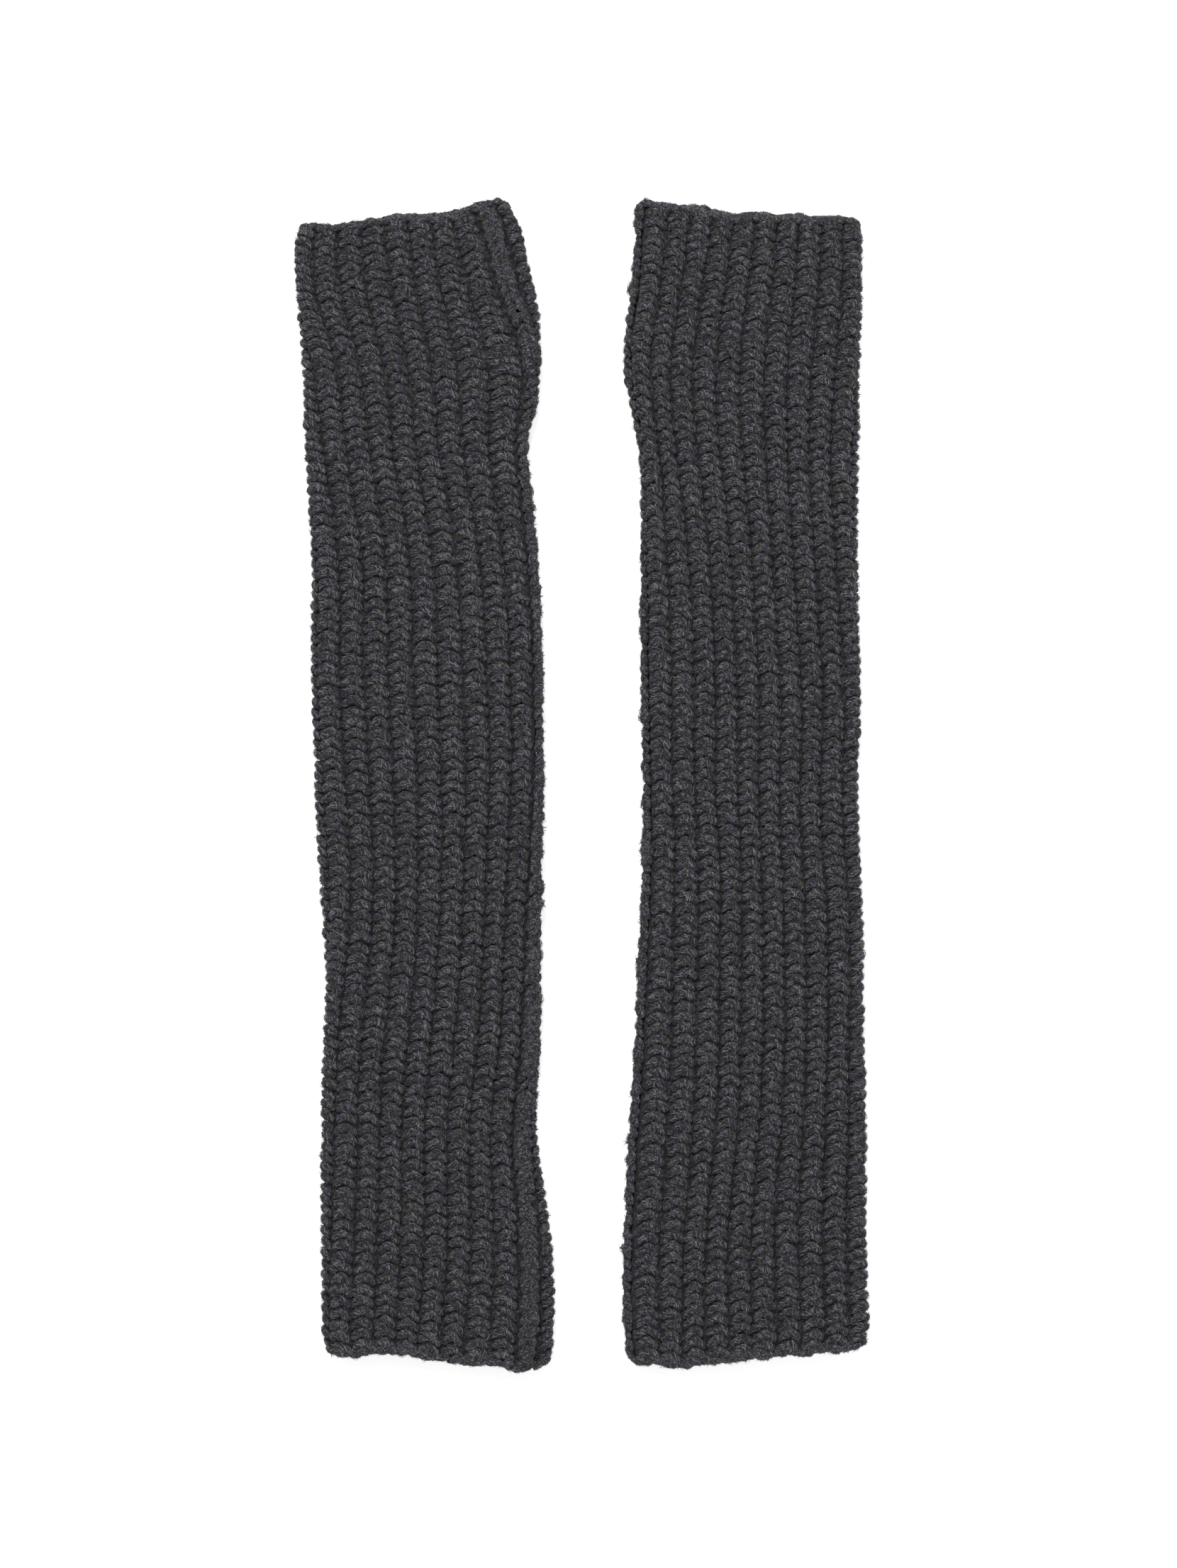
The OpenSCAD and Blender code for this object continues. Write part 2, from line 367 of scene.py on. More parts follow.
    def place(self, column, share, height):
        """The points of the row frame at places on the sleeve."""
        knit, half = self.knit, self.half
        column, share, height = np.broadcast_arrays(column, share, height)
        column = self.laid(column, share)
        fold_x = np.interp(share, self.share, self.fold_x)
        seam_x = np.interp(share, self.share, self.seam_x)
        width = np.abs(seam_x - fold_x)
        middle = self.thickness / 2
        r_fold = middle - knit.cloth_depth
        r_seam = knit.seam_width - SEAM_INSET * knit.cloth_depth
        quarter = r_fold * math.pi / 2
        seam_quarter = (r_fold + r_seam) * math.pi / 4
        flat = width - middle - knit.seam_width
        along = np.abs(column) / half * (quarter + flat + seam_quarter)
        upper = np.where(column < 0, -1.0, 1.0)
        fold_turn = np.clip(along / quarter, 0, 1) * math.pi / 2
        seam_turn = np.clip((along - quarter - flat) / seam_quarter, 0, 1) * math.pi / 2
        across = middle - r_fold * np.cos(fold_turn) + np.clip(along - quarter, 0, flat)
        across = across + r_seam * np.sin(seam_turn)
        out_across = -np.cos(fold_turn) + np.sin(seam_turn)
        out_up = np.sin(fold_turn) * np.cos(seam_turn)
        size = np.maximum(np.hypot(out_across, out_up), 1e-6)
        u = across / width
        belly = np.sin(math.pi * np.clip(u, 0, 1))
        from_finger, from_elbow = (1 - share) * self.length, share * self.length
        # The upper layer sags into the slack, most at the two mouths
        sag_all_along, sag_at_mouth, mouth_reach = 0.10, 0.22, 26 * MM
        sag_waves, wave_size = 0.05, 45 * MM
        mouth = smooth(1 - from_finger / mouth_reach) + smooth(1 - from_elbow / mouth_reach)
        sag = belly * (sag_all_along + sag_at_mouth * mouth)
        sag = sag + sag_waves * waves(self.seed + 1, across, share * self.length, wave_size)
        sag = np.where(upper > 0, sag, 0.0)
        z = middle + upper * (r_fold * out_up * (1 - sag) + height * out_up / size)
        u = (across + height * out_across / size) / width
        x = fold_x + (seam_x - fold_x) * u
        ends = [self.elbow_y[i] + (self.finger_y[i] - self.elbow_y[i]) * share for i in (0, 1)]
        y = ends[0] + (ends[1] - ends[0]) * u
        # The lower layer's mouth edges show a little past the upper layer's, and both ripple
        finger = curve(u, *FINGER_EDGE[self.side]) + np.where(upper > 0, -0.5, 1.0) * belly
        elbow = curve(u, *ELBOW_EDGE[self.side]) - np.where(upper > 0, 0.3, -0.3) * belly
        finger_reach, elbow_reach = 55 * MM, 45 * MM
        ripple_height, ripple_size, layers_apart = 0.35, 13 * MM, 7 * MM
        ripple = ripple_height * waves(self.seed + 2, across, upper * layers_apart, ripple_size)
        y = y + MM * (finger + ripple) * smooth(1 - from_finger / finger_reach)
        y = y - MM * (elbow + ripple) * smooth(1 - from_elbow / elbow_reach)
        return np.stack([x, y, z], -1)


def mesh_piece(name, points, faces, uvs, material):
    """A mesh object from points, a list of face arrays (each with one number of corners) and UV maps
    given as {name: [array of corner UVs for each face array]}."""
    mesh = bpy.data.meshes.new(name)
    points = np.ascontiguousarray(points.reshape(-1, 3), np.float32)
    loops = np.concatenate([f.ravel() for f in faces]).astype(np.int32)
    totals = np.concatenate([np.full(len(f), f.shape[1]) for f in faces]).astype(np.int32)
    starts = (np.cumsum(totals) - totals).astype(np.int32)
    mesh.vertices.add(len(points))
    mesh.vertices.foreach_set("co", points.ravel())
    mesh.loops.add(len(loops))
    mesh.loops.foreach_set("vertex_index", loops)
    mesh.polygons.add(len(totals))
    mesh.polygons.foreach_set("loop_start", starts)
    mesh.polygons.foreach_set("loop_total", totals)
    mesh.polygons.foreach_set("use_smooth", np.ones(len(totals), bool))
    mesh.update(calc_edges=True)
    for uv_name, parts in uvs.items():
        layer = mesh.uv_layers.new(name=uv_name)
        layer.data.foreach_set("uv", np.concatenate([p.ravel() for p in parts]).astype(np.float32))
    mesh.validate()
    mesh.materials.append(material)
    obj = bpy.data.objects.new(name, mesh)
    bpy.context.scene.collection.objects.link(obj)
    return obj


def round_about(path):
    """Unit vectors square to each step of each tube: one level with the cloth, and one out of the cloth."""
    tangent = np.gradient(path, axis=1)
    tangent /= np.linalg.norm(tangent, axis=-1, keepdims=True)
    side = np.cross(tangent, (0, 0, 1))
    side /= np.maximum(np.linalg.norm(side, axis=-1, keepdims=True), 1e-9)
    return side, np.cross(side, tangent)


def yarn(sleeve, columns, shares, path, radii, seed, sides=8, lumps=0.08):
    """Tubes of yarn on a sleeve. Each starts from a column and a share of the length, and its path is an
    array (tube, step, 3) of how far each step lies along the row, along the glove and out of the cloth.
    radii is (tube, step, 2): in the plane of the cloth, and out of it. Returns points, faces and UVs."""
    n, m = path.shape[:2]
    side, up = round_about(path)
    turn = np.linspace(0, 2 * math.pi, sides, endpoint=False)
    rng = np.random.default_rng(seed)
    grow = 1 + lumps * rng.standard_normal((n, m, sides, 1))
    ring = (
        path[:, :, None]
        + side[:, :, None] * (radii[..., 0, None, None] * np.cos(turn)[None, None, :, None]) * grow
        + up[:, :, None] * (radii[..., 1, None, None] * np.sin(turn)[None, None, :, None]) * grow
    )
    share = shares[:, None, None] + ring[..., 1] / sleeve.length
    column = columns[:, None, None] + ring[..., 0] / sleeve.pitch(np.clip(share, 0, 1))
    points = lay_on_floor(sleeve.place(column, share, ring[..., 2]))
    index = np.arange(n * m * sides).reshape(n, m, sides)
    around = np.roll(index, -1, 2)
    quads = np.stack([index[:, :-1], around[:, :-1], around[:, 1:], index[:, 1:]], -1).reshape(-1, 4)
    faces = [quads, np.concatenate([index[:, 0, ::-1], index[:, -1]])]
    uvs = yarn_uvs(path, radii, sides, rng, sleeve.out)
    if sleeve.out > 0:
        for name, parts in uvs.items():
            uvs[name] = [u.reshape(*f.shape, 2)[:, ::-1] for u, f in zip(parts, faces)]
        faces = [f[:, ::-1] for f in faces]
    return points, faces, uvs


def yarn_uvs(path, radii, sides, rng, twist_way):
    """Yarn holds millimetres along and round the yarn. OFBake gives each tube its own cell."""
    n, m = path.shape[:2]
    steps = np.linalg.norm(np.diff(path, axis=1), axis=-1)
    run = np.concatenate([np.zeros((n, 1)), np.cumsum(steps, 1)], 1) / MM
    run = run + rng.uniform(0, WOOL_LENGTH, (n, 1))
    girth = 2 * math.pi * float(radii.mean()) / MM
    k, j = np.arange(sides), np.arange(m - 1)
    corner_step, corner_side = np.array([0, 0, 1, 1]), np.array([0, 1, 1, 0])
    u = run[:, j[:, None] + corner_step][:, :, None, :]
    v = ((k[:, None] + corner_side) / sides * girth)[None, None]
    wall = np.stack(np.broadcast_arrays(u, v * twist_way), -1).reshape(-1, 2)
    ends = np.concatenate([run[:, 0], run[:, -1]])[:, None]
    caps = np.stack(np.broadcast_arrays(ends, k / sides * girth * twist_way), -1).reshape(-1, 2)
    cells, margin, cap_size = math.ceil(math.sqrt(n)), 0.06, 0.02
    column, row = np.arange(n) % cells, np.arange(n) // cells
    in_u = margin + (1 - 2 * margin) * (j[:, None] + corner_step) / (m - 1)
    in_v = margin + (1 - 2 * margin) * (k[:, None] + corner_side) / sides
    bake_u = (column[:, None, None, None] + in_u[None, :, None, :]) / cells
    bake_v = (row[:, None, None, None] + in_v[None, None, :, :]) / cells
    bake_wall = np.stack(np.broadcast_arrays(bake_u, bake_v), -1).reshape(-1, 2)
    spot = np.stack([np.tile(column, 2), np.tile(row, 2)], -1)[:, None]
    round_cap = cap_size + cap_size * np.stack([np.cos(k), np.sin(k)], -1)[None]
    return {"Yarn": [wall, caps], "OFBake": [bake_wall, ((spot + round_cap) / cells).reshape(-1, 2)]}


def lay_on_floor(points):
    """Yarn that would reach under the floor is flattened against it."""
    low, give = 0.1 * MM, 0.12
    z = points[..., 2]
    points[..., 2] = np.maximum(np.where(z < low, low + give * (z - low), z), 0)
    return points


def rows(sleeve):
    """Shares of the length at which the rows of stitches lie, closer together at the finger edge."""
    knit, shares, y = sleeve.knit, [], FIRST_ROW
    close_rows, change = 25 * MM, 70 * MM
    while y < sleeve.length - LAST_ROW:
        shares.append(y / sleeve.length)
        on_arm = smooth((sleeve.length - y - close_rows) / change)
        y += knit.finger_stitch_height + (knit.stitch_height - knit.finger_stitch_height) * on_arm
    return np.array(shares)


def add(tree, kind, inputs=None, **settings):
    """Adds a node with its settings, and sets or links its inputs."""
    node = tree.nodes.new(kind)
    for key, value in settings.items():
        setattr(node, key, value)
    for key, value in (inputs or {}).items():
        if isinstance(value, bpy.types.NodeSocket):
            tree.links.new(value, node.inputs[key])
        else:
            node.inputs[key].default_value = value
    return node


def melange_wool(name, brightness, streak=(1.5, 0.36), stops=YARN_STOPS):
    """Woollen-spun melange: dark, middle and light fibres blended before spinning, softly twisted.
    The eye sees short light and dark streaks at an angle to the yarn, faint blue and olive flecks, and a
    matt surface with a soft halo. streak is a streak's length and width in millimetres. Real fibres are
    0.03 mm thick, too fine to show, so streaks are about 0.3 mm wide."""
    found = bpy.data.materials.get(name)
    if found:
        return found
    wool = bpy.context.scene.wool_colours
    material = bpy.data.materials.new(name)
    material.use_nodes = True
    tree = material.node_tree
    tree.nodes.clear()
    twist = math.radians(35)
    patch_size, fleck_size, grain_size = 1.6, 2.2, 0.75 * MM
    coords = add(tree, "ShaderNodeUVMap", uv_map="Yarn").outputs["UV"]
    turned = add(tree, "ShaderNodeMapping", {"Vector": coords, "Rotation": (0, 0, twist)}).outputs["Vector"]
    lengthwise = add(
        tree, "ShaderNodeVectorMath", {0: turned, 1: (1 / streak[0], 1 / streak[1], 1)},
        operation="MULTIPLY",
    ).outputs["Vector"]
    fibres = add(
        tree, "ShaderNodeTexNoise",
        {"Vector": lengthwise, "Scale": 1.0, "Detail": 3.0, "Roughness": 0.6, "Distortion": 0.35},
    ).outputs["Fac"]
    patches = add(
        tree, "ShaderNodeTexNoise", {"Vector": coords, "Scale": 1 / patch_size, "Detail": 2.0}
    ).outputs["Fac"]
    place = add(tree, "ShaderNodeTexCoord").outputs["Object"]
    grain = add(
        tree, "ShaderNodeTexNoise",
        {"Vector": place, "Scale": 1 / grain_size, "Detail": 2.0, "Roughness": 0.6},
    ).outputs["Fac"]
    fibres = add(
        tree, "ShaderNodeMix", {0: 0.32, 2: fibres, 3: grain}, data_type="FLOAT"
    ).outputs[0]
    flecks = add(
        tree, "ShaderNodeTexNoise", {"Vector": coords, "Scale": 1 / fleck_size, "Detail": 1.0}
    ).outputs["Fac"]
    mixed = add(
        tree, "ShaderNodeMath", {0: patches, 1: 0.4, 2: fibres}, operation="MULTIPLY_ADD"
    ).outputs["Value"]
    blend = add(tree, "ShaderNodeValToRGB", {"Fac": mixed})
    ramp = blend.color_ramp.elements
    ramp[0].position, ramp[0].color = stops[0], (*wool.dark, 1)
    ramp[1].position, ramp[1].color = stops[2], (*wool.light, 1)
    ramp.new(stops[1]).color = (*wool.middle, 1)
    hue = add(tree, "ShaderNodeValToRGB", {"Fac": flecks})
    hue.color_ramp.elements[0].position, hue.color_ramp.elements[0].color = 0.34, (*wool.blue, 1)
    hue.color_ramp.elements[1].position, hue.color_ramp.elements[1].color = 0.66, (*wool.olive, 1)
    hue.color_ramp.elements.new(0.5).color = (*wool.middle, 1)
    tinted = add(
        tree, "ShaderNodeMix", {0: 0.33, 6: blend.outputs["Color"], 7: hue.outputs["Color"]},
        data_type="RGBA",
    ).outputs[2]
    # The colour times the material's brightness; the purl ground's 0.6 here is painted shade
    shaded = add(
        tree, "ShaderNodeMix", {0: 1.0, 6: tinted, 7: (brightness,) * 3 + (1,)}, data_type="RGBA",
        blend_type="MULTIPLY",
    ).outputs[2]
    bump = add(
        tree, "ShaderNodeBump", {"Height": fibres, "Strength": 0.85, "Distance": 0.45 * MM}
    ).outputs["Normal"]
    shader = add(tree, "ShaderNodeBsdfPrincipled", {"Base Color": shaded, "Normal": bump})
    shader.inputs["Roughness"].default_value = 0.95
    shader.inputs["Specular IOR Level"].default_value = 0.2
    shader.inputs["Sheen Weight"].default_value = 0.25
    shader.inputs["Sheen Roughness"].default_value = 0.6
    shader.inputs["Sheen Tint"].default_value = (*linear("#9a9aa0"), 1)
    add(tree, "ShaderNodeOutputMaterial", {"Surface": shader.outputs["BSDF"]})
    return material


def arches(sleeve, layer):
    """The arch-shaped stitches of one layer's rib columns, as the inputs of yarn(). Each stitch goes from
    one foot (t = -1) over its crown (0) to its other foot (1)."""
    knit, top = sleeve.knit, int(sleeve.half) - 1
    columns = range(0, top + 1) if layer == "upper" else range(-top, 0)
    shares = rows(sleeve)
    col, share = np.meshgrid(np.array(columns, float), shares, indexing="ij")
    col, share = col.ravel(), share.ravel()
    n = len(col)
    rng = np.random.default_rng(sleeve.seed + 5 + len(columns))

    def uneven(amount, *shape):
        return amount * rng.standard_normal(shape)

    column_wander = 0.3 * MM * np.sin(col * 2.1)
    share = share + (uneven(0.16 * MM, n) + column_wander) / sleeve.length
    height = np.interp(share, shares, np.gradient(shares)) * sleeve.length
    # Stitches are flatter and thinner beside the two mouths
    finger_reach, elbow_reach = 11 * MM, 10 * MM
    full = smooth((1 - share) * sleeve.length / finger_reach) * smooth(share * sleeve.length / elbow_reach)
    t = np.linspace(-1, 1, 10)[None]
    half_width = (0.5 * knit.stitch_width * sleeve.pitch(share) * (1 + uneven(0.06, n)))[:, None]
    rise = (knit.stitch_rise * (0.75 + 0.25 * full) * (1 + uneven(0.06, n)))[:, None]
    tilt = uneven(0.22 * MM, n)[:, None]
    steep, feet_down, middle, dimple = 1.45, 2.3, 0.55, 0.4 * MM
    along_row = half_width * t + uneven(0.15 * MM, n, 1)
    along_glove = rise * (middle - np.abs(t) ** steep) + tilt * t
    crown = (knit.crown - knit.crown_fall * np.abs(t) ** feet_down) + uneven(0.18 * MM, n, 1)
    crown = crown * (0.45 + 0.55 * full)[:, None] - dimple * (1 - np.abs(t))
    path = np.stack([along_row, along_glove, crown], -1)
    # The yarn fills most of its row's height, and is pressed thinner where it runs steeply and at its feet
    slope = np.arctan(rise * steep * np.abs(t) ** (steep - 1) / half_width)
    row_fill, foot_thickness = 0.455, 0.55
    plane = row_fill * height[:, None] * np.cos(slope) ** 0.7
    depth = knit.yarn_depth * (1 - 0.22 * np.abs(t)) * (0.72 + 0.28 * full)[:, None]
    taper = np.where(np.abs(t) > 0.99, foot_thickness, 1.0)
    radii = np.stack([plane * taper, depth * taper], -1)
    return col, share, path, radii


def slanted(sleeve, columns, shares, run, slant, radius, height, seed, along="glove", uneven=0.1):
    """Short slanting stitches that make a ropy edge. run is how long each is along the edge, and slant how
    far it crosses it."""
    n = len(columns)
    rng = np.random.default_rng(seed)
    end_taper = 0.78
    t = np.linspace(-1, 1, 7)[None]
    size = 1 + uneven * rng.standard_normal((n, 1))
    lengthwise = 0.5 * run * t * size
    crosswise = 0.5 * slant * np.sin(t * math.pi / 2) * np.ones((n, 1))
    crosswise = crosswise + uneven * radius * rng.standard_normal((n, 1))
    lift = height + radius * (0.25 - 0.75 * t**2) * size
    lift = lift + 0.5 * uneven * radius * rng.standard_normal((n, 1))
    order = [crosswise, lengthwise] if along == "glove" else [lengthwise, crosswise]
    path = np.stack([*order, lift], -1)
    thick = radius * np.sqrt(1 - end_taper * t**2)[..., None] * size[..., None] * np.ones((n, 1, 2))
    return fuzzy(sleeve, (columns, shares, path, thick), seed + 1)


def fibres(sleeve, columns, shares, path, radii, count, seed):
    """Loose fibres wound round some yarn tubes as flat ribbons of two quads each. The tubes are given as to
    yarn(), and the result is like yarn()'s."""
    fuzz = bpy.context.scene.fuzz_sizes
    rng = np.random.default_rng(seed)
    n, m = path.shape[:2]
    length_spread, lean_spread, bow_depth, reach_round = 0.35, 0.3, 0.3, 1.7
    which = rng.integers(0, n, count)
    length = fuzz.length * rng.lognormal(0, length_spread, (count, 1))
    # Most fibres lean the way the yarn is twisted
    lean = sleeve.out * (fuzz.twist + lean_spread * rng.standard_normal((count, 1)))
    t = np.linspace(-0.5, 0.5, 3)[None]
    bow = bow_depth * rng.normal(0, 0.5, (count, 1)) * (1 - 4 * t**2)
    along = length * (t * np.cos(lean) - bow * np.sin(lean))
    round_yarn = length * (t * np.sin(lean) + bow * np.cos(lean))
    # Where each point is on its tube: a step along it, and a turn round it from its top
    step_length = np.linalg.norm(np.diff(path, axis=1), axis=-1).mean(1)[which, None]
    last_step = m - 1.001
    step = np.clip(rng.uniform(0, m - 1, (count, 1)) + along / step_length, 0, last_step)
    top = math.pi / 2
    turn = top + rng.triangular(-reach_round, 0, reach_round, (count, 1)) + round_yarn / radii.mean()
    low = step.astype(int)
    part = (step - low)[..., None]
    side, up = round_about(path)
    middle, side, up, size = (
        a[which[:, None], low] * (1 - part) + a[which[:, None], low + 1] * part
        for a in (path, side, up, radii)
    )
    out = side * np.cos(turn)[..., None] + up * np.sin(turn)[..., None]
    # Fibres lie just clear of the yarn, and the ends of a few stand off it
    clear, clear_spread = 0.08, 0.12
    lift = clear + clear_spread * np.abs(rng.standard_normal((count, 1)))
    loose = fuzz.lift / radii.mean() * rng.uniform(0, 1, (count, 1)) ** 3
    lift = lift + loose * (2 * t - rng.uniform(-1, 1, (count, 1))) ** 2
    wide, deep = size[..., :1] * np.cos(turn)[..., None], size[..., 1:] * np.sin(turn)[..., None]
    line = middle + (side * wide + up * deep) * (1 + lift[..., None])
    across = np.cross(np.gradient(line, axis=1), out)
    across /= np.maximum(np.linalg.norm(across, axis=-1, keepdims=True), 1e-9)
    thinnest, thickest, end_taper = 0.7, 1.35, 0.5
    thin = fuzz.radius * rng.uniform(thinnest, thickest, (count, 1)) * (1 - end_taper * (2 * t) ** 2)
    both_edges = np.array([-1, 1])[:, None]
    edges = line[:, :, None] + across[:, :, None] * thin[..., None, None] * both_edges
    share = shares[which][:, None, None] + edges[..., 1] / sleeve.length
    column = columns[which][:, None, None] + edges[..., 0] / sleeve.pitch(np.clip(share, 0, 1))
    points = lay_on_floor(sleeve.place(column, share, edges[..., 2]))
    index = np.arange(count * 6).reshape(count, 3, 2)
    near, far = index[:, :-1], index[:, 1:]
    quads = np.stack([near[..., 1], near[..., 0], far[..., 0], far[..., 1]], -1).reshape(-1, 4)
    # The same two maps as yarn_uvs() makes, with each ribbon in its own cell
    end, edge = np.arange(2)[:, None] + np.array([0, 0, 1, 1]), np.array([1, 0, 0, 1])
    start = rng.uniform(0, WOOL_LENGTH, (count, 1, 1))
    run = start + end[None] * length[:, None] / (2 * MM)
    strip = 0.2
    over = np.broadcast_to(edge * strip + start, run.shape)
    cells, margin = math.ceil(math.sqrt(count)), 0.1
    corner = np.stack([np.arange(count) % cells, np.arange(count) // cells], -1)[:, None, None]
    in_u, in_v = margin + (1 - 2 * margin) * end / 2, margin + (1 - 2 * margin) * edge
    inside = np.stack(np.broadcast_arrays(in_u, in_v), -1)[None]
    yarn_map = np.stack([run, over], -1).reshape(-1, 2)
    bake_map = ((corner + inside) / cells).reshape(-1, 2)
    if sleeve.out > 0:
        yarn_map, bake_map = (a.reshape(-1, 4, 2)[:, ::-1] for a in (yarn_map, bake_map))
        quads = quads[:, ::-1]
    return points, [quads], {"Yarn": [yarn_map], "OFBake": [bake_map]}


def fuzzy(sleeve, tubes, seed):
    """Yarn tubes with their loose fibres."""
    count = bpy.context.scene.fuzz_sizes.edge_count * len(tubes[0])
    return joined([yarn(sleeve, *tubes, seed), fibres(sleeve, *tubes, count, seed + 1)])


def joined(parts):
    """Several results of yarn() or fibres() as one, with the OFBake squares side by side."""
    points, faces, uvs = [], [], {"Yarn": [], "OFBake": []}
    count = 0
    for i, (p, f, uv) in enumerate(parts):
        points.append(p.reshape(-1, 3))
        faces += [a + count for a in f]
        uvs["Yarn"] += uv["Yarn"]
        uvs["OFBake"] += [(a.reshape(-1, 2) + (i, 0)) / (len(parts), 1) for a in uv["OFBake"]]
        count += len(points[-1])
    return np.concatenate(points), faces, uvs


def fold_over(obj):
    """Bakes the piece's transform into its mesh."""
    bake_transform(obj)


def sleeves():
    knit = bpy.context.scene.knit_sizes
    return [Sleeve(side, knit) for side in SIDES]


class GLOVES_OT_cloth(bpy.types.Operator):
    """Knit ground of each glove: the purl valleys outside and the inside of the tube, in wool darkened as
    painted shade
    """

    bl_idname = "gloves.cloth"
    bl_label = "Cloth"

    def execute(self, context):
        # The ground is the rib wool darkened to 0.6 times: painted shade in the purl valleys between the
        # ribs and inside the tube
        material = melange_wool("Woollen-spun melange, purl side darkened as painted shade", 0.6)
        for sleeve in sleeves():
            self.build(sleeve, material)
        return {"FINISHED"}

    def build(self, sleeve, material):
        side, half = sleeve.side, sleeve.half
        first, last, steps_per_column, steps_along = 2.2 * MM, 1.6 * MM, 8, 222
        cols = np.linspace(-1, 1, int(2 * half * steps_per_column) + 1)
        shares = np.linspace(first / sleeve.length, 1 - last / sleeve.length, steps_along)
        c, s = np.meshgrid(cols, shares, indexing="ij")
        # The two ends of the panel stay just apart where they are sewn, and further at the thumb opening
        apart, slit = 1e-4, bpy.context.scene.edge_sizes.thumb_gap + 0.4 * MM
        c = c * (half - apart - slit * sleeve.opened(s) / sleeve.pitch(s))
        rib = np.cos(2 * math.pi * c)
        row = np.cos(2 * math.pi * s * sleeve.length / sleeve.knit.stitch_height)
        # Ribs stand up on both sides, and the rows ripple: the purl valleys outside, everything inside
        level, rib_rise, row_rise = -0.75, 0.25, 0.12
        outside = sleeve.place(c, s, (level + rib_rise * rib + row_rise * row * (1 - rib)) * MM)
        level, rib_rise, row_rise = -2.0, 0.35, 0.2
        inside = sleeve.place(c, s, (level + rib_rise * rib + row_rise * row) * MM)
        m, k = c.shape
        index = np.arange(2 * m * k).reshape(2, m, k)
        top, under = index[0], index[1]
        quads = [
            np.stack([top[:-1, :-1], top[:-1, 1:], top[1:, 1:], top[1:, :-1]], -1).reshape(-1, 4),
            np.stack([under[:-1, :-1], under[1:, :-1], under[1:, 1:], under[:-1, 1:]], -1).reshape(-1, 4),
        ]
        rims = (
            (top[0], under[0]), (under[-1], top[-1]), (under[:, 0], top[:, 0]), (top[:, -1], under[:, -1])
        )
        for a, b in rims:
            quads.append(np.stack([a[:-1], b[:-1], b[1:], a[1:]], -1))
        faces = np.concatenate(quads)
        if sleeve.out > 0:
            faces = faces[:, ::-1]
        points = lay_on_floor(np.stack([outside, inside]).reshape(-1, 3))
        flat_c = (np.concatenate([c.ravel(), c.ravel()]) + half) / (2 * half)
        flat_s = np.concatenate([s.ravel(), s.ravel()])
        # OFBake has the outside in one half of the square and the inside in the other
        shift, in_half = (faces.ravel() >= m * k) * 0.5, 0.49
        bake = np.stack([flat_c[faces.ravel()] * in_half + shift, flat_s[faces.ravel()]], -1)
        girth = 2 * half * sleeve.pitch(0.5)
        mm = np.stack([flat_s[faces.ravel()] * sleeve.length / MM, flat_c[faces.ravel()] * girth / MM], -1)
        obj = mesh_piece(side + "_cloth", points, [faces], {"Yarn": [mm], "OFBake": [bake]}, material)
        fold_over(obj)
        parts = ("upper_layer", "lower_layer", "fold")
        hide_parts(*[f"{side}_{body}_{p}" for body in ("hand", "arm") for p in parts])


class GLOVES_OT_ribs(bpy.types.Operator):
    """Raised rib columns of arch-shaped stitches"""

    bl_idname = "gloves.ribs"
    bl_label = "Ribs"

    def execute(self, context):
        material = melange_wool("Woollen-spun melange, rib side", 0.97)
        for sleeve in sleeves():
            for layer in LAYERS:
                made = yarn(sleeve, *arches(sleeve, layer), sleeve.seed + 6)
                obj = mesh_piece(f"{sleeve.side}_{layer}_ribs", *made, material)
                fold_over(obj)
        return {"FINISHED"}


class GLOVES_OT_selvedges(bpy.types.Operator):
    """Narrow edge columns either side of the seam, which are the lips of the thumb opening too"""

    bl_idname = "gloves.selvedges"
    bl_label = "Selvedges"

    def execute(self, context):
        edge = context.scene.edge_sizes
        material = melange_wool("Woollen-spun melange, selvedge yarn", 1.15, stops=EDGE_STOPS)
        for sleeve in sleeves():
            shares = rows(sleeve)
            gap = (edge.selvedge_gap + edge.thumb_gap * sleeve.opened(shares)) / sleeve.pitch(shares)
            run, slant, level = 4.6 * MM, 2.0 * MM, 0.5 * MM
            made = [
                slanted(
                    sleeve, way * (sleeve.half - gap), shares, run, way * slant, edge.selvedge_radius,
                    level, sleeve.seed + 40 + way, uneven=0.18,
                )
                for way in (-1, 1)
            ]
            obj = mesh_piece(sleeve.side + "_selvedges", *joined(made), material)
            fold_over(obj)
        return {"FINISHED"}


class GLOVES_OT_seams(bpy.types.Operator):
    """Sewing yarn that joins the selvedges above and below the thumb opening"""

    bl_idname = "gloves.seams"
    bl_label = "Seams"

    def execute(self, context):
        material = melange_wool("Woollen-spun melange, sewing yarn", 1.1, stops=EDGE_STOPS)
        for sleeve in sleeves():
            shares = rows(sleeve)
            sewn, beside = sleeve.opened(shares) < 0.35, 0.02
            shares = shares[sewn]
            hand = shares[shares > sleeve.thumb[1] - beside]
            arm = shares[shares < sleeve.thumb[0] + beside]
            self.build(context, sleeve, "hand_seam", hand, material)
            self.build(context, sleeve, "arm_seam", arm, material)
        return {"FINISHED"}

    def build(self, context, sleeve, name, shares, material):
        edge = context.scene.edge_sizes
        columns = np.full(len(shares), sleeve.half - 1e-6)
        half_row = 0.5 * sleeve.knit.stitch_height / sleeve.length
        run, slant, level = 4.4 * MM, 1.6 * MM, 0.7 * MM
        made = slanted(
            sleeve, columns, shares + half_row, run, slant, edge.sewing_radius, level,
            sleeve.seed + len(shares), along="row", uneven=0.26,
        )
        obj = mesh_piece(f"{sleeve.side}_{name}_yarn", *made, material)
        if name == "hand_seam":
            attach(obj, sleeve.side + "_hand")
            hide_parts(sleeve.side + "_hand_seam")
        else:
            fold_over(obj)
            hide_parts(sleeve.side + "_arm_seam", sleeve.side + "_wrist_seam")


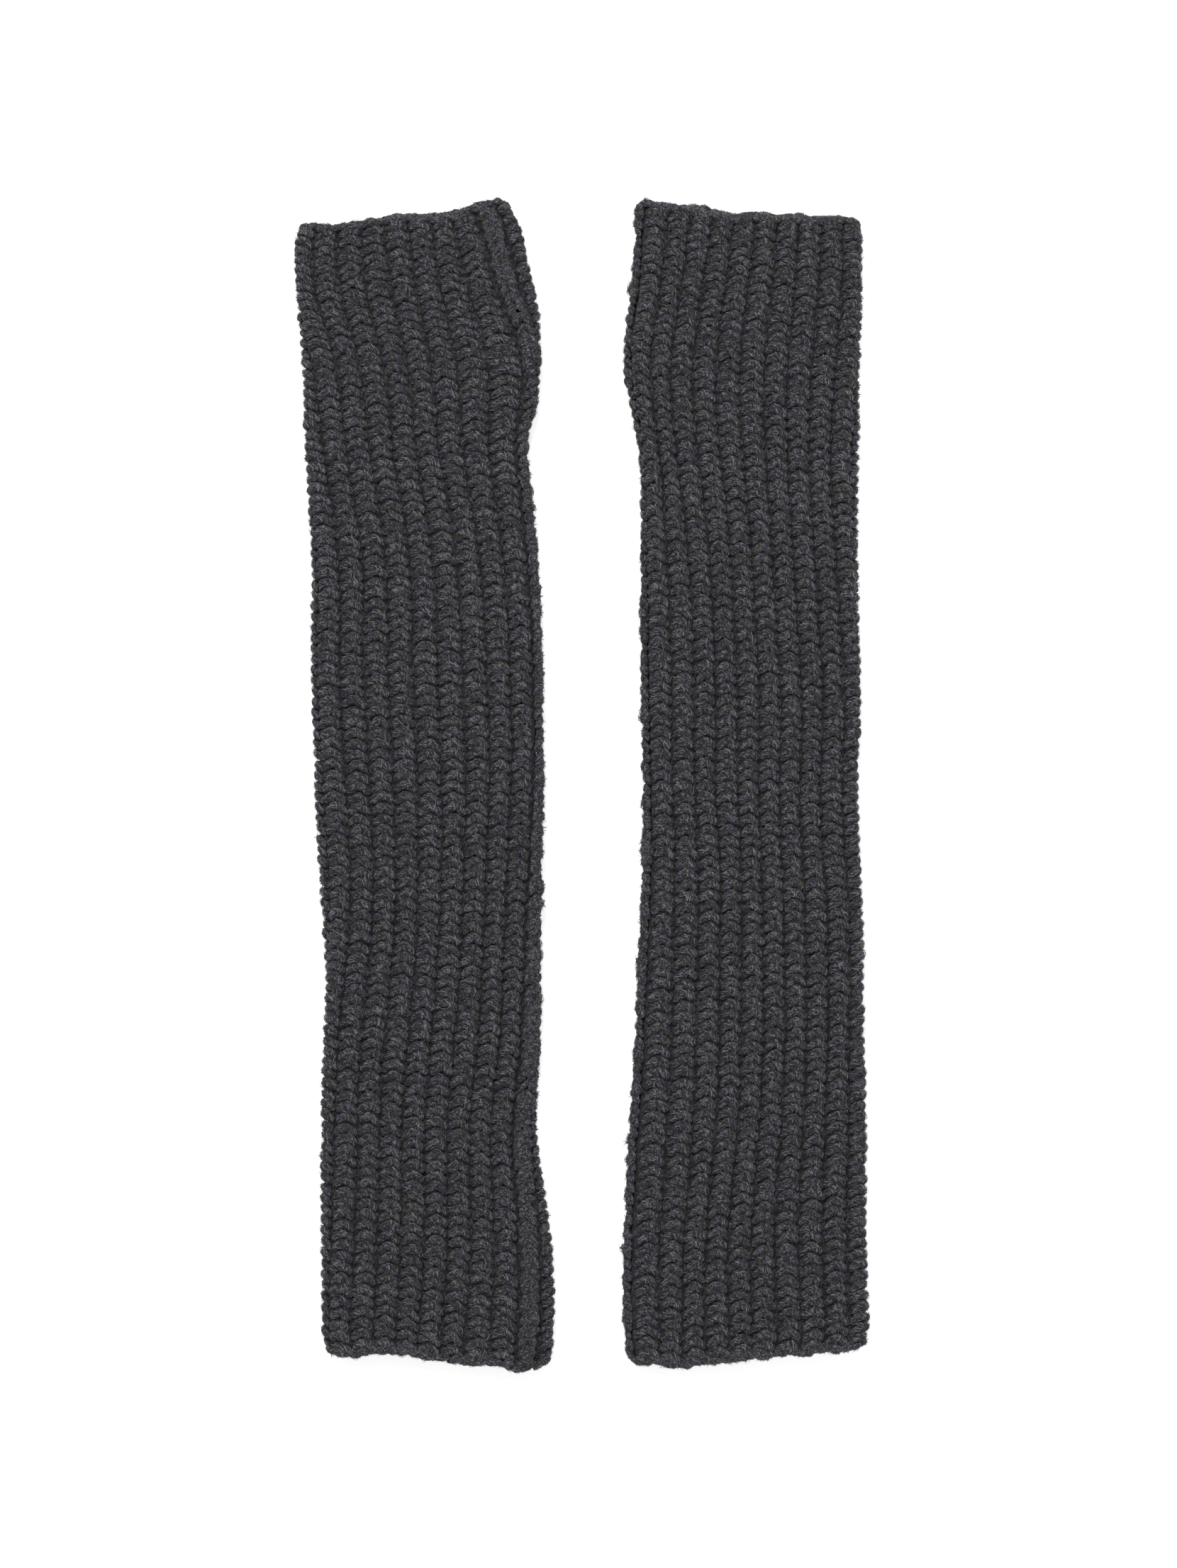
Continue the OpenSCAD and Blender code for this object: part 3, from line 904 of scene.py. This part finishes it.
class GLOVES_OT_mouth_edges(bpy.types.Operator):
    """Bound-off stitches round the finger edge and cast-on stitches round the elbow edge"""

    bl_idname = "gloves.mouth_edges"
    bl_label = "Finger and elbow edges"

    def execute(self, context):
        edge = context.scene.edge_sizes
        material = melange_wool("Woollen-spun melange, edge yarn", 1.2, stops=EDGE_STOPS)
        for sleeve in sleeves():
            inset = 1.7 * MM / sleeve.length
            mouths = (
                ("finger", "hand", 1 - inset, edge.finger_pitch, edge.finger_radius, 0.16),
                ("elbow", "arm", inset, edge.elbow_pitch, edge.elbow_radius, 0.2),
            )
            for name, body, share, pitch, radius, uneven in mouths:
                girth = 2 * sleeve.half_girth(share)
                count = round(girth / pitch)
                columns = (np.arange(count) + 0.5) / count * 2 * sleeve.half - sleeve.half
                run, slant, rounds = 0.95 * pitch, 0.7 * radius, []
                # An outer round of stitches, and an inner one half a stitch on from it
                for level in (-0.2 * MM, -1.7 * MM):
                    rounds.append(
                        slanted(
                            sleeve, columns, np.full(count, share), run, slant, radius, level,
                            sleeve.seed + count + int(level / MM), along="row", uneven=uneven,
                        )
                    )
                    columns = columns + sleeve.half / count
                obj = mesh_piece(f"{sleeve.side}_{name}_edge_yarn", *joined(rounds), material)
                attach(obj, f"{sleeve.side}_{body}")
                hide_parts(f"{sleeve.side}_{name}_edge")
        return {"FINISHED"}


class GLOVES_OT_fuzz(bpy.types.Operator):
    """Loose fibres that lie over the wool and blur its stitches"""

    bl_idname = "gloves.fuzz"
    bl_label = "Fuzz"

    def execute(self, context):
        material = melange_wool("Woollen-spun melange, loose fibres", 1.19, (9.0, 4.0), FUZZ_STOPS)
        for sleeve in sleeves():
            for layer in LAYERS:
                tubes = arches(sleeve, layer)
                by_seam = np.abs(tubes[0]) > sleeve.half / 2 - 0.5
                for part, keep in (("outer", ~by_seam), ("inner", by_seam)):
                    name = f"{sleeve.side}_{layer}_{part}_fuzz"
                    self.build(sleeve, name, [a[keep] for a in tubes], material)
        return {"FINISHED"}

    def build(self, sleeve, name, tubes, material):
        fuzz = bpy.context.scene.fuzz_sizes
        count = fuzz.count * len(tubes[0])
        obj = mesh_piece(name, *fibres(sleeve, *tubes, count, sleeve.seed + count), material)
        fold_over(obj)


class GLOVES_OT_sheets(bpy.types.Operator):
    """Builds each glove's sleeve frame, whose knitted panel lies folded in half along its outer edge, and
    adds nothing to the scene
    """

    bl_idname = "gloves.sheets"
    bl_label = "Sheets"

    def execute(self, context):
        for sleeve in sleeves():
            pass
        return {"FINISHED"}


class GLOVES_OT_stage(bpy.types.Operator):
    """Pale floor, soft studio light and the camera"""

    bl_idname = "gloves.stage"
    bl_label = "Stage"

    def execute(self, context):
        scene = context.scene
        scene.view_settings.view_transform = "Standard"
        half_floor, under_gloves = 6.0, 0.2 * MM
        mesh = bpy.data.meshes.new("Floor")
        corners = [(x * half_floor, y * half_floor, 0) for x, y in ((-1, -1), (1, -1), (1, 1), (-1, 1))]
        mesh.from_pydata(corners, [], [(0, 1, 2, 3)])
        floor = bpy.data.objects.new("Floor", mesh)
        floor.location.z = -under_gloves
        scene.collection.objects.link(floor)
        # Matt white paper sweep, lit to a clean white
        paper = bpy.data.materials.new("White paper")
        paper.use_nodes = True
        shader = paper.node_tree.nodes["Principled BSDF"]
        shader.inputs["Base Color"].default_value = (0.9, 0.9, 0.9, 1)
        shader.inputs["Roughness"].default_value = 0.9
        shader.inputs["Specular IOR Level"].default_value = 0.1
        shader.inputs["Emission Color"].default_value = (1, 1, 1, 1)
        shader.inputs["Emission Strength"].default_value = 0.55
        mesh.materials.append(paper)
        world = bpy.data.worlds.new("Studio")
        world.use_nodes = True
        world.node_tree.nodes["Background"].inputs["Color"].default_value = (1, 1, 1, 1)
        world.node_tree.nodes["Background"].inputs["Strength"].default_value = 0.45
        scene.world = world
        # Name, place in metres, width in metres and power in watts
        lamps = (
            ("Key", (-0.5, 1.5, 1.9), 1.3, 34),
            ("Fill", (1.6, -0.9, 1.7), 1.6, 14),
        )
        for name, place, width, power in lamps:
            light = bpy.data.lights.new(name, "AREA")
            light.shape, light.size, light.energy = "DISK", width, power
            lamp = bpy.data.objects.new(name, light)
            lamp.location = place
            lamp.rotation_mode = "QUATERNION"
            lamp.rotation_quaternion = (-lamp.location).to_track_quat("-Z", "Y")
            scene.collection.objects.link(lamp)
        data = bpy.data.cameras.new("Camera")
        data.sensor_width, data.lens = 36, 125.2
        camera = bpy.data.objects.new("Camera", data)
        # Straight above the pair, a little off its middle
        camera.location = (2.6 * MM, -0.5 * MM, 2.0)
        scene.collection.objects.link(camera)
        scene.camera = camera
        return {"FINISHED"}


class GLOVES_PT_panel(bpy.types.Panel):
    bl_label = "Fingerless gloves"
    bl_idname = "GLOVES_PT_panel"
    bl_space_type = "VIEW_3D"
    bl_region_type = "UI"
    bl_category = "Gloves"

    def draw(self, context):
        for group in GROUPS:
            for key in GROUPS[group].__annotations__:
                self.layout.prop(getattr(context.scene, group), key)
        for operator in OPERATORS:
            self.layout.operator(operator.bl_idname)


GROUPS = {
    "knit_sizes": KnitSizes,
    "edge_sizes": EdgeSizes,
    "fuzz_sizes": FuzzSizes,
    "wool_colours": WoolColours,
}
OPERATORS = (
    GLOVES_OT_stage,
    GLOVES_OT_cloth,
    GLOVES_OT_ribs,
    GLOVES_OT_selvedges,
    GLOVES_OT_seams,
    GLOVES_OT_mouth_edges,
    GLOVES_OT_fuzz,
    GLOVES_OT_sheets,
)


def register():
    for cls in (*GROUPS.values(), *OPERATORS, GLOVES_PT_panel):
        bpy.utils.register_class(cls)
    for name, cls in GROUPS.items():
        setattr(bpy.types.Scene, name, PointerProperty(type=cls))


def unregister():
    for name in GROUPS:
        delattr(bpy.types.Scene, name)
    for cls in (GLOVES_PT_panel, *OPERATORS[::-1], *GROUPS.values()):
        bpy.utils.unregister_class(cls)


def main():
    register()
    bpy.ops.gloves.stage()
    bpy.ops.gloves.cloth()
    bpy.ops.gloves.ribs()
    bpy.ops.gloves.selvedges()
    bpy.ops.gloves.seams()
    bpy.ops.gloves.mouth_edges()
    bpy.ops.gloves.fuzz()
    bpy.ops.gloves.sheets()


if __name__ == "__main__":
    main()
